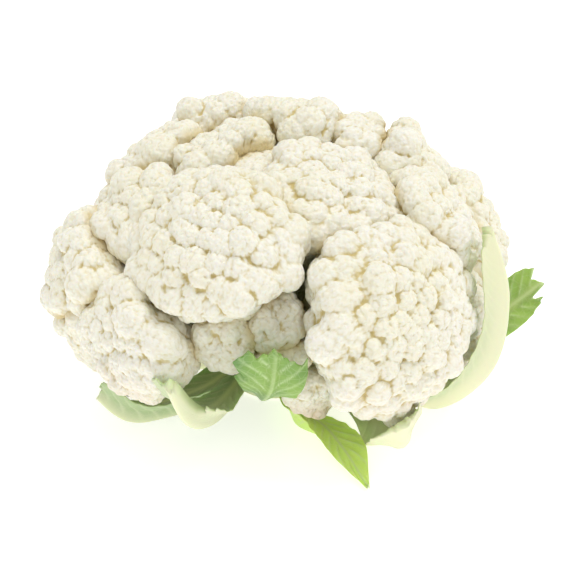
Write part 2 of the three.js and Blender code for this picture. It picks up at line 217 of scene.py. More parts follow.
# %% The whole floret tree
def floret_tree():
    tree = bpy.data.node_groups.new("floret", "GeometryNodeTree")
    tree.interface.new_socket("Geometry", in_out="OUTPUT", socket_type="NodeSocketGeometry")
    for name, kind in (
        ("Geometry", "Geometry"), ("Neighbours", "Object"), ("Cap centre", "Vector"),
        ("Axis", "Vector"), ("Lobe count", "Int"), ("Lobe size", "Float"), ("Press out", "Float"),
        ("Skin detail", "Int"), ("Seed", "Int"), ("Curd", "Material"),
    ):
        tree.interface.new_socket(name, in_out="INPUT", socket_type="NodeSocket" + kind)
    given = tree.nodes.new("NodeGroupInput").outputs
    centre, axis = given["Cap centre"], given["Axis"]
    turned = put(tree, "FunctionNodeAlignRotationToVector", named={"Vector": axis}, axis="Z")
    place = put(tree, "GeometryNodeInputPosition")
    arm = vector_of(tree, place, centre, "SUBTRACT")
    along = vector_of(tree, vector_of(tree, arm, None, "NORMALIZE"), axis, "DOT_PRODUCT").outputs["Value"]

    # the cap's flanks swell sideways until they press on the neighbours
    rise = vector_of(tree, arm, axis, "DOT_PRODUCT").outputs["Value"]
    flank = vector_of(tree, arm, vector_of(tree, axis, None, "SCALE", rise), "SUBTRACT")
    swell = sum_of(tree, ramp_of(tree, along, -0.85, -0.35), given["Press out"], "MULTIPLY")
    hull = put(tree, "GeometryNodeConvexHull", given["Geometry"])
    wider = vector_of(tree, flank, None, "SCALE", swell)
    hull = put(tree, "GeometryNodeSetPosition", hull, named={"Offset": wider})
    balls = lobes_of(tree, given, hull, turned)

    # under the lobes, the plain floret itself: drawn in below the cap, whole at the stalk
    sink = sum_of(tree, ramp_of(tree, along, -0.9, -0.4, 0.0, -LOBE_SINK), given["Lobe size"], "MULTIPLY")
    drawn = vector_of(tree, vector_of(tree, arm, None, "NORMALIZE"), None, "SCALE", sink)
    body = put(tree, "GeometryNodeSetPosition", given["Geometry"],
               named={"Offset": vector_of(tree, drawn, wider)})
    heap = put(tree, "GeometryNodeJoinGeometry")
    for part in (body, balls):
        tree.links.new(part.outputs[0], heap.inputs[0])

    # the skin falls on to the heap from all round, and is eased once
    skin, outwards = even_ball(tree, given["Skin detail"], turned)
    far = vector_of(tree, centre, vector_of(tree, outwards, None, "SCALE", DROP))
    drop = put(tree, "GeometryNodeRaycast", named={
        "Target Geometry": heap, "Source Position": far,
        "Ray Direction": vector_of(tree, outwards, None, "SCALE", -1.0), "Ray Length": DROP})
    skin = put(tree, "GeometryNodeSetPosition", skin, named={"Position": drop.outputs["Hit Position"]})
    eased = put(tree, "GeometryNodeBlurAttribute", data_type="FLOAT_VECTOR",
                named={"Value": place, "Iterations": 1})
    skin = put(tree, "GeometryNodeSetPosition", skin, named={"Position": eased})

    # where the curd is, how near the neighbours are, then domes on domes
    on_cap = ramp_of(tree, along, math.cos(math.radians(132)), math.cos(math.radians(108)))
    skin = remember(tree, skin, "cap", on_cap)
    others = put(tree, "GeometryNodeObjectInfo", given["Neighbours"])
    near = put(tree, "GeometryNodeProximity", target_element="FACES",
               named={"Geometry": others.outputs["Geometry"]})
    # how near the neighbours are, which the curd material turns into painted shade
    skin = remember(tree, skin, "gap", ramp_of(tree, near.outputs["Distance"], 0.0, 6 * MM, 1.0, 0.0))
    for level in range(len(BEADS)):
        skin = beaded(tree, skin, given["Seed"], level, on_cap)
    # how hollow the skin is, which the curd material turns into painted shade in the creases
    for name, steps, depths in zip(("crease_narrow", "crease_wide"), CRIMP_STEPS, CRIMP_DEPTHS):
        skin = remember(tree, skin, name, hollowness(tree, steps, depths))
    plain = put(tree, "GeometryNodeRealizeInstances", skin)
    done = put(tree, "GeometryNodeSetMaterial", plain, named={"Material": given["Curd"]})
    tree.links.new(done.outputs[0], tree.nodes.new("NodeGroupOutput").inputs[0])
    return tree


tree_for_florets = floret_tree()
print("floret tree:", len(tree_for_florets.nodes), "nodes")

# %% [markdown]
# ## Finishes that share an effect
# Curd, leaves and stem are all living skin with a very fine grain, so that grain is one shader
# node group, built once and placed in each finish with its own scale. Leaves share a second group
# that mixes petiole, blade and vein colours from numbers kept on the mesh. A group only hands
# out colours and heights: the Principled shader stays in each material.


# %% Helpers for materials
def shaded(name):
    """A new material with its Principled shader, ready to be wired."""
    material = bpy.data.materials.new(name)
    material.use_nodes = True
    tree = material.node_tree
    return material, tree, tree.nodes["Principled BSDF"]


def read(tree, name):
    return put(tree, "ShaderNodeAttribute", attribute_name=name).outputs["Fac"]


def mixed(tree, factor, first, second, blend="MIX"):
    """Two colours mixed, each a colour or the output of a node."""
    node = put(tree, "ShaderNodeMix", data_type="RGBA", blend_type=blend)
    for place, value in ((0, factor), (6, first), (7, second)):
        wire(tree, node.inputs[place], (*value, 1.0) if isinstance(value, tuple) else value)
    return node.outputs[2]


def new_group(name, inputs, outputs):
    """An empty shader group with named sockets, and its two ends."""
    tree = bpy.data.node_groups.new(name, "ShaderNodeTree")
    for label, kind in inputs:
        tree.interface.new_socket(label, in_out="INPUT", socket_type="NodeSocket" + kind)
    for label, kind in outputs:
        tree.interface.new_socket(label, in_out="OUTPUT", socket_type="NodeSocket" + kind)
    return tree, tree.nodes.new("NodeGroupInput").outputs, tree.nodes.new("NodeGroupOutput").inputs


def placed(tree, group, **named):
    """A copy of a group's node, with its inputs filled by name."""
    node = tree.nodes.new("ShaderNodeGroup")
    node.node_tree = group
    for key, value in named.items():
        wire(tree, node.inputs[key.replace("_", " ")], value)
    return node


# %% The two shared effects
def grain_group():
    """Cells of living skin: a height and a mask that wanders slowly."""
    tree, given, ends = new_group("skin grain", [("Place", "Vector"), ("Cells per metre", "Float"),
                                                 ("Patches per metre", "Float")],
                                  [("Height", "Float"), ("Patches", "Float")])
    cells = put(tree, "ShaderNodeTexVoronoi", feature="SMOOTH_F1",
                named={"Vector": given["Place"], "Scale": given["Cells per metre"]})
    patches = put(tree, "ShaderNodeTexNoise", named={
        "Vector": given["Place"], "Scale": given["Patches per metre"], "Detail": 3.0})
    wire(tree, ends["Height"], sum_of(tree, 1.0, cells.outputs["Distance"], "SUBTRACT"))
    wire(tree, ends["Patches"], ramp_of(tree, patches.outputs["Fac"], 0.35, 0.65))
    return tree


def leaf_group():
    """Petiole, blade and veins in one colour, with a fine net between the veins."""
    colours = ("Petiole", "Blade", "Blade bloom", "Vein", "Inside")
    tree, given, ends = new_group("leaf colours", [("Place", "Vector"), ("Patches", "Float")] +
                                  [(name, "Color") for name in colours],
                                  [("Colour", "Color"), ("Net", "Float")])
    cells = put(tree, "ShaderNodeTexVoronoi", feature="DISTANCE_TO_EDGE",
                named={"Vector": given["Place"], "Scale": 330.0, "Randomness": 0.9})
    net = ramp_of(tree, cells.outputs["Distance"], 0.0, 0.09, 1.0, 0.0)
    green = read(tree, "green")
    # how light the blade's green is: its patches plus each leaf's own share, which is partly painted
    # light
    lightness_and_painted_light = sum_of(tree, given["Patches"], 0.3, "MULTIPLY_ADD", read(tree, "lightness_and_painted_light"))
    blade = mixed(tree, lightness_and_painted_light, given["Blade"], given["Blade bloom"])
    blade = mixed(tree, sum_of(tree, net, 0.14, "MULTIPLY"), blade, given["Vein"])
    blade = mixed(tree, sum_of(tree, read(tree, "vein"), 0.6, "MULTIPLY"), blade, given["Vein"])
    inside = sum_of(tree, read(tree, "inner"), 0.75, "MULTIPLY")
    petiole = mixed(tree, inside, given["Petiole"], given["Inside"])
    wire(tree, ends["Colour"], mixed(tree, green, petiole, blade))
    wire(tree, ends["Net"], sum_of(tree, net, green, "MULTIPLY"))
    return tree


skin_grain = grain_group()
leaf_colours = leaf_group()
print("shared effects:", skin_grain.name, "and", leaf_colours.name)

# %% [markdown]
# ## The curd's finish
# Curd is a creamy, slightly see-through flesh with a dull skin. It is palest where a bead stands
# proud. Shade is painted into its colour: yellower and darker in every crease and between the
# finest grains, browner where two florets press together and dark brown deep in the creases
# there. The lower side of a few florets is painted pinkish brown, partly their own blemish and
# partly painted shade. The floret tree found the creases, so the material only reads them. The
# finest grains are too small for the mesh, so they are a bump in the material.


# %% Curd material
def curd_material():
    material, tree, shader = shaded("curd")
    where = put(tree, "ShaderNodeTexCoord").outputs["Object"]
    grain = placed(tree, skin_grain, Place=where, Cells_per_metre=720.0, Patches_per_metre=24.0)
    colour = mixed(tree, grain.outputs["Patches"], (0.90, 0.875, 0.735), (0.92, 0.90, 0.80))
    # painted shade: yellower and darker between the finest grains
    between = ramp_of(tree, grain.outputs["Height"], 0.35, 0.62, 0.22, 0.0)
    colour = mixed(tree, between, colour, (0.76, 0.66, 0.40))
    # painted shade in the creases: yellower in the narrow ones, browner in the wide ones
    fine = sum_of(tree, read(tree, "crease_narrow"), 0.38, "MULTIPLY")
    colour = mixed(tree, fine, colour, (0.76, 0.66, 0.34))
    wide = sum_of(tree, read(tree, "crease_wide"), 0.88, "MULTIPLY")
    colour = mixed(tree, wide, colour, (0.62, 0.49, 0.18))
    # painted shade where two florets press together, dark brown deep in the creases there
    painted_gap_shade = sum_of(tree, sum_of(tree, read(tree, "gap"), 1.6, "POWER"), 0.85, "MULTIPLY")
    colour = mixed(tree, painted_gap_shade, colour, (0.70, 0.57, 0.28))
    deep = sum_of(tree, read(tree, "gap"), read(tree, "crease_wide"), "MULTIPLY")
    colour = mixed(tree, sum_of(tree, deep, 0.8, "MULTIPLY"), colour, (0.30, 0.17, 0.04))
    # pinkish brown low on a few florets: partly their own blemish, partly painted shade
    blemish_and_painted_shade = sum_of(tree, read(tree, "blemish_and_painted_shade"), grain.outputs["Patches"], "MULTIPLY")
    colour = mixed(tree, blemish_and_painted_shade, colour, (0.74, 0.55, 0.40))
    colour = mixed(tree, read(tree, "cap"), (0.78, 0.76, 0.48), colour)
    wire(tree, shader.inputs["Base Color"], colour)
    bump = put(tree, "ShaderNodeBump", named={
        "Strength": 0.8, "Distance": 0.7 * MM, "Height": grain.outputs["Height"]})
    wire(tree, shader.inputs["Normal"], bump)
    shader.inputs["Roughness"].default_value = 0.6
    shader.inputs["Specular IOR Level"].default_value = 0.35
    shader.inputs["Subsurface Weight"].default_value = 0.2
    shader.inputs["Subsurface Radius"].default_value = (1.0, 0.75, 0.4)
    shader.inputs["Subsurface Scale"].default_value = 2.0 * MM
    return material


curd = curd_material()
print("finish:", curd.name)

# %% [markdown]
# ## Growing the florets
# Each plain floret is read as points and triangles, its middle and its axis are measured, and the
# tree grows lobes on it. The result is turned into a plain mesh, so nothing is left to compute.

# %% Helpers for meshes
CROWN = Vector((0, 4, 32)) * MM  # where the stalks would meet inside the stem
SKIN_DETAIL = 3.3 / MM  # cuts along the skin's cube for each metre of a floret's radius


def plain_points(name):
    """A plain solid's points and triangles, with doubled points joined."""
    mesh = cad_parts[name].data
    points = np.array([v.co for v in mesh.vertices])
    mesh.calc_loop_triangles()
    corners = np.array([t.vertices for t in mesh.loop_triangles])
    keys, back = np.unique(np.round(points / 1e-6).astype(np.int64), axis=0, return_inverse=True)
    return keys * 1e-6, back.reshape(-1)[corners]


def object_from(name, points, faces):
    mesh = bpy.data.meshes.new(name)
    mesh.from_pydata([tuple(p) for p in points], [], [tuple(int(i) for i in f) for f in faces])
    made = bpy.data.objects.new(name, mesh)
    bpy.context.scene.collection.objects.link(made)
    return made


def plain_mesh(source, name):
    """What an object's modifiers make, as a plain object, and the source is removed."""
    result = bpy.data.meshes.new_from_object(
        source.evaluated_get(bpy.context.evaluated_depsgraph_get()))
    result.name = name
    made = bpy.data.objects.new(name, result)
    bpy.context.scene.collection.objects.link(made)
    bpy.data.objects.remove(source)
    return made


def keep_on_points(made, name, values):
    """Stores one number for each point of a mesh, for its material to read."""
    attribute = made.data.attributes.new(name, "FLOAT", "POINT")
    attribute.data.foreach_set("value", np.asarray(values, np.float32).ravel())


def facing_out(made, points, faces):
    """Turns a closed mesh the right way out and shades it smooth."""
    corners = points[np.array([f[:3] for f in faces])]
    if np.einsum("ij,ij->i", corners[:, 0], np.cross(corners[:, 1], corners[:, 2])).sum() < 0:
        made.data.flip_normals()
    made.data.shade_smooth()
    return made


def middle_of(points, faces):
    """The middle of a closed solid's volume."""
    corners = points[faces]
    volumes = np.einsum("ij,ij->i", corners[:, 0], np.cross(corners[:, 1], corners[:, 2])) / 6
    return (corners.sum(1) / 4 * volumes[:, None]).sum(0) / volumes.sum()


solids = {name: plain_points(name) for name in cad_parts}
print("triangles in the plain model:", sum(len(faces) for points, faces in solids.values()))

# %% Grow every floret
# how strongly the lower side of these florets is painted pinkish brown: partly their own blemish, partly
# painted shade under them
BLEMISH_AND_PAINTED_SHADE = {"small_low": 0.75, "front_left": 0.3, "front_right": 0.2, "right": 0.15}


def neighbours_of(name):
    """All the other plain florets as one mesh."""
    start, all_points, all_faces = 0, [], []
    for other in floret_names:
        if other != name:
            points, faces = solids[other]
            all_points.append(points)
            all_faces.append(faces + start)
            start += len(points)
    return object_from("neighbours", np.concatenate(all_points), np.concatenate(all_faces))


def grow_floret(name, seed):
    points, faces = solids[name]
    centre = Vector(middle_of(points, faces))
    axis = (centre - CROWN).normalized()
    arms = points - np.array(centre)
    radius = float(np.median(np.linalg.norm(arms[arms @ np.array(axis) > 0], axis=1)))
    cap_area = 2 * math.pi * radius**2 * (1 - math.cos(LOBES_REACH))
    lobe = min(LOBE_SIZE, radius * LOBE_SHARE)
    detail = SKIN_DETAIL * radius * 1
    neighbours = neighbours_of(name)
    source = object_from("source", points, faces)
    modifier = source.modifiers.new("grow", "NODES")
    modifier.node_group = tree_for_florets
    values = {
        "Neighbours": neighbours, "Cap centre": centre, "Axis": axis,
        "Lobe count": round(cap_area / (LOBE_SPACING * lobe) ** 2), "Lobe size": lobe,
        "Press out": PRESS_OUT / radius,
        "Skin detail": min(126, max(30, round(detail))), "Seed": seed, "Curd": curd,
    }
    items = tree_for_florets.interface.items_tree
    sockets = {item.name: item.identifier for item in items if item.in_out == "INPUT"}
    for key, value in values.items():
        modifier[sockets[key]] = value
    made = plain_mesh(source, "curd_" + name)
    bpy.data.objects.remove(neighbours)
    made.data.shade_smooth()
    places = np.array([v.co for v in made.data.vertices])
    # the pinkish brown grows towards the floret's lower side
    low = np.clip((float(centre.z) - places[:, 2]) / radius, 0, 1)
    keep_on_points(made, "blemish_and_painted_shade", BLEMISH_AND_PAINTED_SHADE.get(name.removeprefix("floret_"), 0.0) * low)
    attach(made, "root")
    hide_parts(name)
    return made, radius


faces_in_all = 0
for seed, name in enumerate(floret_names):
    made, radius = grow_floret(name, seed + 1)
    faces_in_all += 2 * len(made.data.polygons)
    print(f"{made.name}: radius {radius / MM:.0f} mm, {len(made.data.polygons)} faces")
print("triangles in all the florets:", faces_in_all)

# %% [markdown]
# ## The trimmed leaves
# A cauliflower leaf is a thick, pale petiole that runs on as a midrib through a thin blade, with
# side veins that leave it slantwise. The trimmer's knife leaves stubs with ragged ends. Each one
# is a swept surface: a smooth line for the midrib, widths along it, and a cross-section that
# changes from a crescent into a blade. Sweeping it in numpy gives every point its place along
# and across the leaf, which then drives the veins, the ruffled edge and the colours together.

# %% The midrib lines, and how each leaf looks
# Each row is [x, y, z, half the width on one side, half on the other, the midrib's thickness],
# in millimetres from the stem outwards. cup turns the edges towards the head, roll turns the
# leaf about its midrib, in degrees, and wave ruffles it. ends is the torn end's outline, as
# (across, share of the length), and left and right are the edges', as (along, share of the
# width). green is how green base and end are, sides how green left and right are, pale where
# the green begins across the leaf, and a last number how light that green is. That lightness is
# partly painted light: the pointed leaf, which lies in shade, is painted a lighter green, and
# the torn leaf, which faces the light, a darker one.
LEAVES = {
    "front_left": dict(
        rows=[[-12, -14, 17, 5, 5, 6], [-25, -27, 13.5, 9, 9, 7], [-41, -38, 13, 10, 11, 7],
              [-55, -45.5, 15, 9, 11, 6], [-68, -44, 24, 6, 7, 4]],
        cup=0.2, wave=0.5, ends=[(-1, 0.9), (0, 0.96), (1, 1.0)], green=(1.0, 0.8), pale=-0.1,
        slot="leaf_pale"),
    "curled": dict(
        rows=[[-7, -17, 23, 4, 4, 6], [-15, -36, 19, 5, 6, 7], [-23, -53, 20, 7, 9, 8],
              [-30, -71, 33.5, 9, 12, 8], [-36, -80, 50.5, 10, 8, 5]],
        cup=0.15, wave=0.9,
        ends=[(-1, 0.9), (-0.7, 0.96), (-0.45, 0.93), (-0.1, 1.0), (0.15, 0.97), (0.3, 0.76),
              (0.45, 0.68), (0.6, 0.75), (0.75, 0.66), (0.9, 0.7), (1, 0.62)],
        left=[(0, 1), (0.55, 1.2), (0.72, 1.7), (0.8, 1.3), (0.87, 1.5), (1, 1.1)],
        right=[(0, 1), (0.5, 1), (0.7, 0.78), (1, 0.8)],
        green=(1.1, 0.5), sides=(1.0, 0.35), pale=-0.1, lightness_and_painted_light=0.6, slot="leaf_pale"),
    # the torn leaf faces the light, so its green is painted darker
    "torn": dict(
        rows=[[-1, -18, 27, 4, 4, 5], [-4, -38, 26, 4, 4, 5], [-3, -59, 31, 8, 8, 4],
              [0, -71, 42, 15, 13, 3], [2, -78, 62, 16, 13, 2.5]],
        cup=0.03, wave=1.6,
        ends=[(-1, 0.92), (-0.7, 0.99), (-0.45, 0.94), (-0.1, 1.0), (0.35, 0.95), (0.8, 0.9), (1, 0.94)],
        left=[(0, 1), (0.6, 0.9), (0.72, 1.0), (0.79, 0.84), (0.9, 1.0), (1, 0.93)],
        right=[(0, 1), (0.62, 1), (0.71, 0.84), (0.84, 1.0), (1, 0.93)],
        green=(0.9, 1.0), pale=-0.4, lightness_and_painted_light=0.0, slot="leaf_green"),
    # the pointed leaf lies in shade, so its green is painted lighter: painted light
    "pointed": dict(
        rows=[[5, -17, 9, 4, 4, 6], [10, -34, 7.5, 6, 6, 7], [20, -46, 6.5, 8, 10, 5],
              [27, -59, 5, 6, 9, 3.5], [36, -81, 2.5, 0.7, 0.7, 1.2]],
        cup=0.1, wave=0.7, green=(0.9, 1.0), pale=-0.4, lightness_and_painted_light=1.0, slot="leaf_green"),
    "front_right": dict(
        rows=[[13, -12, 10, 4, 4, 6], [27, -26, 10, 7, 7, 7], [40, -42, 9, 11, 11, 7],
              [47, -60, 12, 14, 13, 6], [48, -71, 26, 12, 11, 3]],
        cup=0.25, wave=0.7, ends=[(-1, 0.9), (-0.4, 0.97), (0.2, 1.0), (0.6, 0.94), (1, 0.97)],
        left=[(0, 1), (0.5, 0.85), (1, 0.9)], green=(0.15, 0.1), slot="leaf_pale"),
    "right": dict(
        rows=[[19, -3, 15, 4, 4, 7], [42, -15, 9.5, 7, 7, 9], [62, -31, 12.5, 7, 7, 8],
              [79, -35, 31, 9, 8, 8], [84, -29, 56, 9, 9, 7], [79, -22, 83, 4, 3, 4]],
        cup=0.1, wave=0.5, ends=[(-1, 0.93), (0, 1.0), (1, 0.97)], green=(1.0, 0.0), slot="leaf_pale"),
    "far_right": dict(
        rows=[[18, 5, 9, 4, 4, 6], [48, 7, 9, 9, 9, 7], [73, 8, 9.5, 10, 11, 6],
              [94, 4, 29, 10, 11, 4], [109, 1, 45, 9, 10, 2.5]],
        cup=0.15, roll=35, wave=1.0,
        ends=[(-1, 0.88), (-0.6, 0.96), (-0.3, 0.9), (0, 1.0), (0.4, 0.94), (0.7, 1.0), (1, 0.9)],
        green=(0.6, 1.0), pale=-0.2, lightness_and_painted_light=0.15, slot="leaf_green"),
    "back_right": dict(
        rows=[[13, 14, 9, 5, 5, 6], [32, 36, 9, 10, 10, 8], [50, 56, 11, 13, 13, 7],
              [62, 70, 23, 13, 13, 5], [67, 77, 39, 8, 8, 3]],
        cup=0.25, wave=1.2, ends=[(-1, 0.9), (-0.2, 0.95), (0.3, 1.0), (1, 0.93)], green=(0.1, 0.9),
        slot="leaf_pale"),
    "back": dict(
        rows=[[0, 20, 10, 5, 5, 6], [1, 46, 9.5, 11, 11, 9], [-1, 70, 11, 15, 15, 8],
              [-2, 87, 24, 16, 16, 6], [-4, 93, 48, 10, 10, 3]],
        cup=0.25, wave=1.3, ends=[(-1, 0.94), (-0.5, 0.88), (-0.1, 1.0), (0.5, 0.9), (1, 0.95)],
        green=(0.1, 1.0), slot="leaf_pale"),
    "back_left": dict(
        rows=[[-13, 14, 9, 5, 5, 6], [-34, 34, 9, 10, 10, 8], [-54, 50, 10.5, 13, 13, 7],
              [-69, 61, 22, 13, 13, 5], [-76, 67, 38, 8, 8, 3]],
        cup=0.25, wave=1.2, ends=[(-1, 0.93), (0, 1.0), (0.5, 0.9), (1, 0.96)], green=(0.1, 0.9),
        slot="leaf_pale"),
    "left": dict(
        rows=[[-19, 2, 9, 5, 5, 6], [-40, 3, 8, 10, 10, 7], [-58, 3, 8.5, 13, 13, 6],
              [-72, 3, 13, 12, 12, 5], [-80, 3, 20, 8, 8, 3]],
        cup=0.2, wave=1.0, ends=[(-1, 0.92), (-0.2, 1.0), (0.5, 0.92), (1, 0.97)], green=(0.1, 0.7),
        slot="leaf_pale"),
}
WHOLE = [(-1, 1.0), (1, 1.0)]  # an end or an edge that isn't torn
FRAY = 0.03  # how far a torn outline wanders, as a share of the length or width
HEAD_CENTRE = np.array((0, 2, 50)) * MM  # a leaf's outer side faces away from here
BLADE_THICKNESS = 0.9 * MM
VEIN_HEIGHT = 0.5 * MM
VEIN_WIDTH = 0.75 * MM
VEIN_SPACING = 7 * MM
RIB_LINE = 0.8 * MM  # half the width of the pale line along the midrib
VEIN_SLANT = 13 * MM  # how far a side vein runs forwards before it meets the edge
LEAF_CUTS = (150, 56)  # along a leaf and across it
print("leaves:", len(LEAVES))


# %% A smooth line through the rows
def smooth_line(rows, count=400):
    """A centripetal Catmull-Rom line through the rows, as that many points."""
    rows = np.array(rows, float)
    rows = np.vstack([2 * rows[0] - rows[1], rows, 2 * rows[-1] - rows[-2]])
    spots = []
    for place in np.linspace(0, len(rows) - 3, count):
        k = min(int(place), len(rows) - 4)
        a, b, c, d = rows[k:k + 4]
        ab, bc, cd = (max(np.linalg.norm(q - p), 1e-6) ** 0.5 for p, q in ((a, b), (b, c), (c, d)))
        leave = ((b - a) / ab - (c - a) / (ab + bc) + (c - b) / bc) * bc
        arrive = ((c - b) / bc - (d - b) / (bc + cd) + (d - c) / cd) * bc
        t = place - k
        spots.append(b + leave * t + (3 * (c - b) - 2 * leave - arrive) * t**2
                     + (2 * (b - c) + leave + arrive) * t**3)
    return np.array(spots)


def unit(vectors):
    return vectors / np.linalg.norm(vectors, axis=-1, keepdims=True)


def rough(x, seed, waves=7):
    """A wandering line between 0 and 1, made of a few seeded waves of x."""
    draw = np.random.default_rng(seed)
    total = sum(np.sin(x * draw.uniform(3, 26) + draw.uniform(0, 6.3)) for _ in range(waves))
    return np.clip(0.5 + total / (1.6 * waves**0.5) / 2, 0, 1)


def outline(corners, x):
    """A torn outline through its corners."""
    places, values = zip(*corners)
    return np.interp(x, places, values)


def eased_step(x, low, high):
    t = np.clip((x - low) / (high - low), 0, 1)
    return t * t * (3 - 2 * t)


print("a smooth line has", len(smooth_line(LEAVES["torn"]["rows"])), "points")


# %% Sweep one leaf
def leaf_sides(leaf, seed):
    """The inner and outer points of a leaf on a grid, and what its material needs to know."""
    along_cuts, across_cuts = (n for n in LEAF_CUTS)
    rows = np.array(leaf["rows"], float) * MM
    spine, measures = smooth_line(rows[:, :3]), smooth_line(rows[:, 3:])
    length = np.linalg.norm(np.diff(spine, axis=0), axis=1).sum()
    forwards = unit(np.gradient(spine, axis=0))
    outwards = spine - HEAD_CENTRE
    outwards = unit(outwards - (outwards * forwards).sum(1, keepdims=True) * forwards)
    roll = math.radians(leaf.get("roll", 0))
    outwards = outwards * math.cos(roll) + np.cross(forwards, outwards) * math.sin(roll)
    sideways = np.cross(forwards, outwards)

    # v runs across the leaf from edge to edge, and s along it to its ragged end
    v = np.sin(np.linspace(-1, 1, across_cuts) * math.pi / 2)[None, :]
    s = np.linspace(0, 1, along_cuts)[:, None]
    s = s * (outline(leaf.get("ends", WHOLE), v) - FRAY * rough(v * 1.2, seed))
    spot = s * (len(spine) - 1)
    low = np.minimum(spot.astype(int), len(spine) - 2)
    between = (spot - low)[..., None]
    here = lambda table: table[low] * (1 - between) + table[low + 1] * between
    measure = here(measures)
    wide = np.where(v < 0, measure[..., 0], measure[..., 1])
    rib = measure[..., 2]
    edge = np.where(v < 0, outline(leaf.get("left", WHOLE), s), outline(leaf.get("right", WHOLE), s))
    edge = edge - 2 * FRAY * rough(s * 1.3 + np.sign(v) * 9, seed + 1) * eased_step(s, 0.1, 0.5)
    across = v * edge

    # the side veins slant forwards from the midrib, and the blade swells a little between them
    veins = s * length / VEIN_SPACING - abs(v) * VEIN_SLANT / VEIN_SPACING + (v > 0) * 0.45
    off = abs(veins - np.round(veins)) * VEIN_SPACING
    beside_rib = eased_step(abs(v) * wide, 1 * MM, 3 * MM)
    vein = np.exp(-((off / VEIN_WIDTH) ** 2)) * (1 - 0.6 * abs(v)) * beside_rib
    spread = 0.42 - 0.3 * eased_step(s, 0.3, 0.9) * leaf["green"][1]
    midrib = np.exp(-((v / spread) ** 2))
    swell = 0.35 * MM * (1 - np.exp(-((off / (2 * MM)) ** 2))) * (1 - midrib)
    ruffle = np.sin(s * length / (5.5 * MM) + 2 * np.sign(v) + seed) * abs(v) ** 3
    bend = -leaf["cup"] * across**2 * wide + leaf["wave"] * MM * ruffle * eased_step(s, 0.3, 0.7)
    thick = BLADE_THICKNESS * (1 - 0.6 * v**8)
    bulge = (rib - BLADE_THICKNESS) * midrib

    middle = here(spine) + here(sideways) * (across * wide)[..., None]
    up = here(outwards)
    inner = middle + up * (bend - 0.5 * VEIN_HEIGHT * vein + swell)[..., None]
    outer = middle + up * (bend + thick + bulge + VEIN_HEIGHT * vein + swell)[..., None]
    base, end = leaf["green"]
    side = np.where(v < 0, *leaf.get("sides", (1.0, 1.0)))
    pale = leaf.get("pale", 0.25 * (1 - end))
    green = side * (base + (end - base) * s) * eased_step(abs(v), pale, pale + 0.5)
    line = np.exp(-((v * wide / (RIB_LINE * (1.2 - 0.8 * s))) ** 2))
    green = np.maximum(green, np.clip(2 * (green - 0.5), 0, 1)) * (1 - 0.5 * line)
    facts = {"green": green, "vein": np.maximum(vein, line * green), "inner": None,
             "lightness_and_painted_light": np.full(green.shape, leaf.get("lightness_and_painted_light", 0.3))}
    return inner, outer, facts


def closed_sheet(name, inner, outer):
    """One closed mesh from an inner and an outer grid of points."""
    count, wide = inner.shape[:2]
    rings = np.concatenate([inner, outer[:, ::-1]], axis=1)
    size = 2 * wide
    at = lambda i, j: i * size + j % size
    faces = [(at(i, j), at(i, j + 1), at(i + 1, j + 1), at(i + 1, j))
             for i in range(count - 1) for j in range(size)]
    for i, flip in ((0, True), (count - 1, False)):
        for j in range(wide - 1):
            face = (at(i, j), at(i, j + 1), at(i, size - 2 - j), at(i, size - 1 - j))
            faces.append(face[::-1] if flip else face)
    points = rings.reshape(-1, 3)
    return facing_out(object_from(name, points, faces), points, faces)


# %% [markdown]
# ## The leaves' finish
# The petiole is nearly white with a yellow-green cast, the blade is a fresh green under a bluish
# wax, and the veins stay pale in it. Two finishes share the leaf group with different colours:
# one for stubs that are mostly petiole, and one for stubs that are mostly blade. How light a
# blade's green is differs leaf by leaf, and that is partly painted light for how each stub lies
# in the light.


# %% Leaf materials
def leaf_material(name, petiole, blade, bloom, vein, inside):
    material, tree, shader = shaded(name)
    where = put(tree, "ShaderNodeTexCoord").outputs["Object"]
    grain = placed(tree, skin_grain, Place=where, Cells_per_metre=1500.0, Patches_per_metre=45.0)
    colours = placed(tree, leaf_colours, Place=where, Patches=grain.outputs["Patches"],
                     Petiole=(*petiole, 1), Blade=(*blade, 1), Blade_bloom=(*bloom, 1),
                     Vein=(*vein, 1), Inside=(*inside, 1))
    wire(tree, shader.inputs["Base Color"], colours.outputs["Colour"])
    wire(tree, shader.inputs["Roughness"], ramp_of(tree, grain.outputs["Patches"], 0, 1, 0.38, 0.55))
    height = sum_of(tree, grain.outputs["Height"], colours.outputs["Net"])
    bump = put(tree, "ShaderNodeBump", named={"Strength": 0.3, "Distance": 0.2 * MM, "Height": height})
    wire(tree, shader.inputs["Normal"], bump)
    shader.inputs["Subsurface Weight"].default_value = 0.25
    shader.inputs["Subsurface Radius"].default_value = (0.6, 1.0, 0.3)
    shader.inputs["Subsurface Scale"].default_value = 2.0 * MM
    return material


finishes = {
    "leaf_pale": leaf_material("leaf_pale", petiole=(0.86, 0.86, 0.58), blade=(0.29, 0.43, 0.15),
                               bloom=(0.40, 0.53, 0.29), vein=(0.76, 0.80, 0.55),
                               inside=(0.60, 0.74, 0.34)),
    # this bloom is also the lighter green that paints light on the pointed leaf, which lies in shade
    "leaf_green": leaf_material("leaf_green", petiole=(0.55, 0.66, 0.30), blade=(0.10, 0.24, 0.04),
                                bloom=(0.70, 0.93, 0.21), vein=(0.72, 0.84, 0.50),
                                inside=(0.66, 0.78, 0.38)),
}

# %% Make every leaf
for seed, (name, leaf) in enumerate(LEAVES.items()):
    inner, outer, facts = leaf_sides(leaf, 40 + 3 * seed)
    made = closed_sheet("trimmed_leaf_" + name, inner, outer)
    sides = (np.ones(inner.shape[:2]), np.zeros(inner.shape[:2]))
    for fact, values in facts.items():
        both = sides if values is None else (values, values)
        keep_on_points(made, fact, np.concatenate([both[0], both[1][:, ::-1]], axis=1))
    made.data.materials.append(finishes[leaf["slot"]])
    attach(made, "root")
    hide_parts("leaf_" + name)
    print(f"{made.name}: {len(made.data.polygons)} faces")

